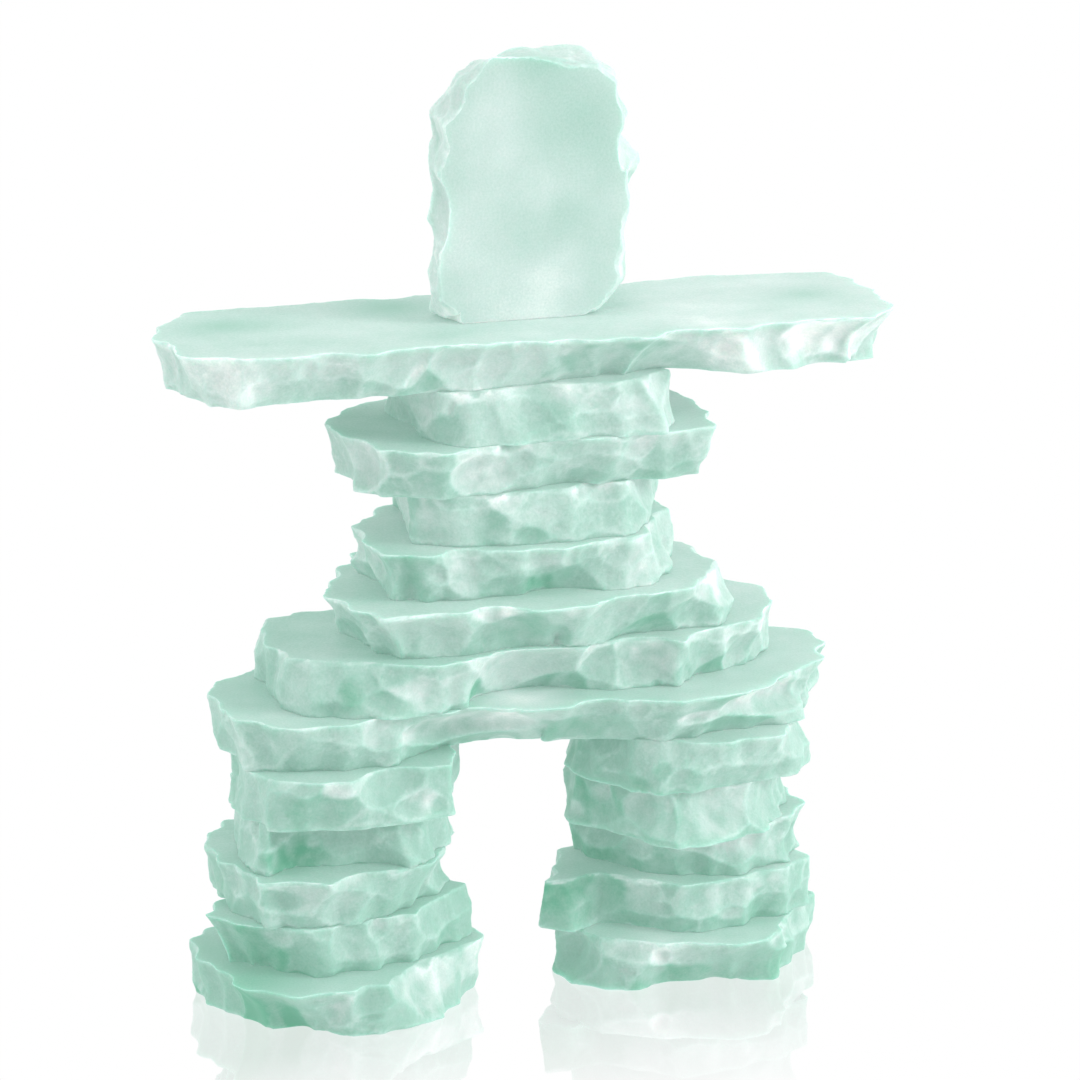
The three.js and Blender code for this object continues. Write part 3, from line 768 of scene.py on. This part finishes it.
struck_slab("body_2", glass, [
    (-8, 9.5, 28, 19, -.02, 0, 0), (15, 12, 14, 5, 0, -.1, -.5), (14, 5, 15, 8, -.2, -.1, -.3),
    (25, 14, 10, 6, -.1, .1, -.4), (30, 7, 13, 9, .3, .1, .3), (38, 15, 7, 7, .2, .4, .8),
    (47, 14, 12, 7, .1, .4, .6), (48, 5, 20, 9, -.05, -.2, -.8), (60, 15, 12, 7, .2, .4, .9),
    (60, 6, 9, 8, .1, 0, -.2), (69, 15.5, 6, 6, -.3, 0, -.6), (77, 18, 9, 3, 0, .5, .7),
    (80, 9, 20, 13, -.1, -.1, -.7), (92, 9, 14, 15, -.2, -.1, -.8), (101, 16, 7, 6, .3, .4, .9),
    (101, 6, 9, 9, -.2, -.2, -.6), (110, 10, 13, 14, .25, .1, .15), (126, 12, 20, 12, -.05, 0, -.3),
    (128, 3, 14, 5, 0, .2, .2), (141, 11, 14, 14, -.15, 0, -.5), (152, 5, 11, 9, -.3, -.3, -.9),
    (156, 14, 10, 10, .4, .3, .9), (162, 5, 7, 8, 0, -.1, 0), (174, 11, 18, 14, .2, .2, .8),
])
struck_slab("body_3", glass, [
    (-24, 10, 18, 16, -.1, 0, .1), (-5, 14, 22, 9, -.1, .1, -.3), (-5, 4, 20, 8, -.1, -.2, -.5),
    (12, 9, 14, 12, -.1, 0, -.3), (24, 13, 18, 11, -.15, 0, -.4), (24, 4, 14, 7, 0, -.1, -.5),
    (33, 7, 9, 13, -.3, 0, -.7), (40.5, 10, 6, 17, .45, .1, .8), (48, 9, 9, 12, .1, -.1, -.1),
    (59, 15, 9, 8, .2, .3, .6), (59, 7, 9, 6, -.1, -.3, -.7), (69, 13, 12, 10, .1, .2, .5),
    (68, 4, 8, 6, .1, 0, 0), (79, 16, 7, 6, .1, .2, .3), (84, 14, 4, 7, .4, .2, .6),
    (91, 15, 9, 7, .1, .1, .1), (88, 6, 22, 9, -.1, -.35, -1), (100, 5, 10, 7, -.3, -.2, -.9),
    (101, 14, 8, 10, .4, .3, .9), (109, 12, 8, 8, .3, .2, .6), (109, 4, 9, 5, .3, .2, .7),
    (122, 11, 18, 14, .2, .2, .8), (140, 10, 18, 14, .1, .1, .6),
])
struck_slab("body_4", glass, [
    (-17, 9.5, 40, 19, -.02, 0, .1), (7, 9, 14, 15, -.1, 0, .15), (14.5, 11, 2.5, 12, .3, 0, .4),
    (20, 11, 10, 14, -.2, -.1, -.6), (30, 7, 15, 11, .05, -.1, -.1), (34, 16, 12, 4, 0, .1, -.3),
    (43, 14, 6, 9, .35, .4, 1), (49, 9, 8, 14, -.3, -.2, -.7), (57, 6, 11, 8, -.1, -.3, -.9),
    (56, 16, 10, 5, .1, .4, .4), (74, 15.5, 16, 6, .1, .5, 1), (67, 6, 9, 7, .15, -.05, 0),
    (76, 6, 10, 8, -.1, -.1, -.3), (87, 15, 6, 6, .2, .4, .9), (86, 6, 10, 9, -.1, -.2, -.7),
    (96, 10, 10, 10, .1, .1, .2), (101, 16, 8, 5, .3, .4, .8), (100, 4, 8, 3, .1, .3, .6),
    (105, 10, 2.5, 8, -.4, 0, -.6), (116, 10, 18, 15, .15, .1, .2), (132, 10, 14, 15, .1, .1, 0),
])
struck_slab("body_5", glass, [
    (-17, 9.5, 36, 19, -.02, 0, -.1), (3, 10, 14, 16, -.2, 0, 0), (13, 12, 8, 12, -.1, -.1, -.6),
    (20, 5, 16, 9, 0, -.1, -.5), (30, 14, 8, 8, -.2, .1, -.7), (38, 7, 18, 12, 0, -.1, -.5),
    (38, 15, 9, 6, .1, .2, -.2), (48, 14, 7, 5, .1, .4, .4), (57, 14, 11, 8, .2, .4, .8),
    (52, 5, 20, 8, 0, -.2, -.6), (65, 13, 8, 10, -.2, 0, -.5), (68, 4, 14, 7, 0, -.2, -.8),
    (75, 14, 10, 9, .2, .3, .6), (86, 14, 12, 8, .1, .2, 0), (84, 4, 16, 7, 0, -.1, -.5),
    (99, 15, 12, 7, .1, .2, .2), (107, 6, 18, 8, -.1, -.3, -.9), (108, 17.5, 8, 3, .1, .5, .7),
    (115, 11, 7, 6, .3, .3, .6), (122, 16, 8, 5, -.2, 0, -.6), (128, 11, 6, 7, .3, .2, .4),
    (124, 3, 14, 6, 0, -.2, -.6), (137, 12, 11, 12, -.2, 0, -.3), (139, 3, 14, 5, 0, -.2, -.5),
    (152, 11, 16, 10, .3, .2, .8), (155, 3, 16, 5, 0, -.1, -.2),
])
struck_slab("body_6", glass, [
    (-15, 9, 30, 14, -.1, 0, -.3), (10, 9, 22, 15, -.1, 0, -.35), (22, 15, 8, 6, 0, .3, .1),
    (26.5, 13, 3, 8, .4, 0, .2), (34, 10, 12, 9, -.1, -.2, -.6), (35, 3, 6, 6, .2, .1, 0),
    (46, 15, 24, 7, 0, .45, 1), (47, 7, 16, 10, -.05, -.15, -1), (64, 9, 9, 12, -.15, -.15, -1),
    (66, 3, 5, 3, .2, .2, .1), (74, 16, 26, 7, 0, .45, .9), (78, 12, 14, 6, .1, .1, .1),
    (80, 4, 18, 6, 0, -.2, -.4), (93, 10, 9, 6, .2, .1, .5), (96, 16, 8, 5, -.2, -.1, -.4),
    (98, 5, 10, 8, .1, -.1, 0), (106, 13, 8, 10, .45, .3, 1), (114, 7, 14, 12, .3, .1, .7),
    (130, 9, 18, 14, .1, .1, .3),
])

# The arms.
# The longest slab, of the same glass, struck and blasted like the others and bonded flat across the top
# of the body. Its glass has greener and whiter patches of its own, partly clouds and partly painted light
# and shade: the whiter ones along the front are painted light, and the greener one behind the head on its
# left is the head's painted shadow.
arms_glass = frosted_glass("frosted_glass_arms", (
    ((0.112, 0.015, 0.250), 0.030, 0.24),
    ((-0.111, 0.028, 0.250), 0.030, 0.22),
    ((-0.016, -0.012, 0.250), 0.034, -0.10),
    ((0.064, 0.006, 0.250), 0.044, -0.08),
    # The head's painted shadow, behind it on the left.
    ((-0.044, 0.040, 0.250), 0.040, 0.30),
    # Painted light on the front of the rim, in this patch and the two after it.
    ((-0.122, -0.030, 0.236), 0.034, -0.26),
    ((0.078, -0.025, 0.236), 0.022, -0.36),
    ((0.060, -0.020, 0.239), 0.020, -0.22),
    ((0.034, 0.034, 0.250), 0.030, 0.20),
))
struck_slab("arms", arms_glass, [
    (-8, 8, 20, 14, -.1, -.1, .5), (-6, 16, 18, 6, -.1, .2, .1), (12, 10, 18, 16, -.15, 0, .35),
    (24, 12, 8, 12, -.3, 0, -.1), (33, 11, 11, 10, .3, .15, .5), (30, 3, 20, 6, 0, -.3, -.2),
    (45, 12, 12, 12, -.1, 0, .2), (50, 4, 10, 6, .2, .1, .6), (60, 2, 16, 3, .1, .2, .7),
    (58, 12, 14, 12, .1, 0, .25), (68, 16, 4, 7, .4, .1, 1), (71.5, 10, 5, 6, .4, .2, 1),
    (77, 10, 9, 8, .2, .1, .4), (88, 16, 16, 6, -.1, .1, -.6), (90, 7, 22, 12, -.1, -.1, -.5),
    (103, 13, 6, 10, .3, 0, .1), (108, 5, 8, 9, -.2, -.1, -.6), (114, 7, 4, 9, .5, .1, .8),
    (124, 10, 10, 8, .1, .1, -.1), (122, 2, 16, 5, 0, -.3, -.6), (131, 7, 10, 12, -.2, -.2, -.7),
    (131, 16, 14, 5, 0, .2, -.5), (137, 13, 4, 8, .3, 0, -.1), (146, 14, 12, 6, .1, .2, -.1),
    (147, 6.5, 7, 3, 0, .3, .5), (153.5, 10.5, 4, 8, .4, .2, .4), (146, 2, 18, 5, 0, -.3, -.6),
    (167, 11, 22, 16, -.15, -.1, -1), (175, 4, 18, 5, 0, .1, -.5), (184, 14, 8, 6, .2, .3, .3),
    (191, 15, 8, 7, .3, .3, .5), (200, 9, 18, 14, -.1, -.1, -.6), (211, 15, 12, 4, .2, .4, .9),
    (213, 7, 16, 10, .1, .1, .1), (202, 1.5, 12, 3, 0, -.4, -.8), (224, 12, 12, 10, .1, 0, 0),
    (236, 7, 24, 14, -.25, -.25, -.7), (248, 14, 16, 8, .05, -.1, -.2),
    (243, 13.5, 9, 3, .2, .5, .8), (252, 9, 6, 3.5, .2, .5, .9), (261, 6, 16, 6, .3, .4, 1),
    (262, 15, 8, 7, .3, .1, .7), (267, 12, 4, 4, -.2, 0, .1), (272, 15, 5, 7, -.4, 0, -.3),
    (272, 6, 10, 8, .1, 0, .5), (277, 12, 3, 12, .4, 0, .6), (281, 14, 4.5, 10, -.4, 0, -.6),
    (281, 4, 8, 7, 0, -.2, -.1), (287, 9, 7, 16, .35, 0, .8), (297, 12, 10, 14, -.1, 0, -.4),
])

# The head.
# A slab that stands on its one sawn edge, bonded to the arms' top face, with its broad face forward and
# its other edges struck. Its glass is painted greener right of the middle and whiter towards the base, and
# greener at the top as painted shade.
head_glass = frosted_glass("frosted_glass_head", (
    ((0.024, -0.005, 0.325), 0.026, 0.34),
    ((0.009, -0.005, 0.320), 0.022, 0.20),
    ((0.029, -0.005, 0.308), 0.020, 0.24),
    ((-0.014, -0.005, 0.327), 0.024, -0.16),
    ((0.010, -0.005, 0.299), 0.022, -0.14),
    ((-0.006, -0.005, 0.250), 0.075, -0.26),
    # Painted shade at the top of the head.
    ((0.006, 0.005, 0.352), 0.034, 0.28),
    ((-0.006, -0.005, 0.288), 0.016, 0.14),
    ((-0.029, -0.005, 0.337), 0.018, 0.16),
))
struck_slab("head", head_glass, [
    (-62, 13, 6, 9, -.2, .05, .2), (-57, 8, 7, 9, .3, -.1, -.6), (-50, 13, 6, 9, -.3, 0, .3),
    (-46, 6, 8, 9, .1, -.1, -.2), (-40, 12, 7, 10, .2, 0, .2), (-33, 9, 5, 6, -.3, -.1, -1),
    (-29, 10, 5, 14, .4, -.05, .3), (-18, 9, 14, 15, .1, -.1, 0), (-6, 10, 10, 15, -.2, -.1, .1),
    (2, 9, 7, 15, -.3, -.1, 0), (10, 9, 9, 15, .3, 0, .3), (88, 16, 18, 8, .1, .4, .3),
    (152, 10, 16, 16, 0, 0, .1), (165, 10, 14, 16, .05, 0, .2), (178, 11, 14, 16, .05, .05, .4),
    (191, 10, 14, 16, 0, .05, .4), (203, 10, 14, 16, 0, 0, .3), (217, 10, 14, 16, 0, 0, .2),
    (230, 10, 14, 16, 0, 0, .1), (241, 10, 10, 16, -.05, 0, .1),
], stands=True)

# The floor and the light.
# A plain white floor that runs into the white all round it. It has a faint polish, which mirrors the feet
# just in front of them. A soft lamp lights the glass from the upper right, and a weaker one from the left.
WHITE = (1, 1, 1, 1)
MIRROR = 0.34
MIRROR_REACH = 0.10
MIRROR_FROM = 0.06
POLISH = 0.03
FLOOR_REACH = 9

floor_mesh = bpy.data.meshes.new("floor")
floor_corners = [(x * FLOOR_REACH, y * FLOOR_REACH, 0) for x, y in ((-1, -1), (1, -1), (1, 1), (-1, 1))]
floor_mesh.from_pydata(floor_corners, [], [(0, 1, 2, 3)])
floor = bpy.data.objects.new("floor", floor_mesh)
bpy.context.scene.collection.objects.link(floor)
white = bpy.data.materials.new("white_floor")
white.use_nodes = True
white.node_tree.nodes.remove(white.node_tree.nodes["Principled BSDF"])
bare = Shade(white.node_tree)
spot = bare.node("TexCoord", {}, {}, "Object")
front = bare.node("SeparateXYZ", {}, {"Vector": spot}, "Y")
fade = ((front + MIRROR_FROM + MIRROR_REACH) * (1 / MIRROR_REACH)).clamped()
bright = bare.node("Emission", {}, {"Color": WHITE, "Strength": 1.0})
polish = bare.node("BsdfGlossy", {}, {"Color": WHITE, "Roughness": POLISH})
surface = bare.node("MixShader", {}, {0: fade * MIRROR, 1: bright, 2: polish})
bare.feed(white.node_tree.nodes["Material Output"].inputs["Surface"], surface)
floor_mesh.materials.append(white)

world = bpy.data.worlds.new("soft_light")
world.use_nodes = True
world.node_tree.nodes["Background"].inputs["Color"].default_value = WHITE
world.node_tree.nodes["Background"].inputs["Strength"].default_value = 1.0
bpy.context.scene.world = world
for name, power, size, hung_at in (
    ("lamp_right", 22, 0.7, (1.5, -1.1, 0.95)),
    ("lamp_left", 4, 0.4, (-1.5, -0.2, 1.2)),
):
    lamp = bpy.data.objects.new(name, bpy.data.lights.new(name, "AREA"))
    lamp.data.energy = power
    lamp.data.size = size
    lamp.location = hung_at
    lamp.rotation_euler = (lamp.location - AIM).to_track_quat("Z", "Y").to_euler()
    bpy.context.scene.collection.objects.link(lamp)
bpy.context.scene.view_settings.view_transform = "Standard"
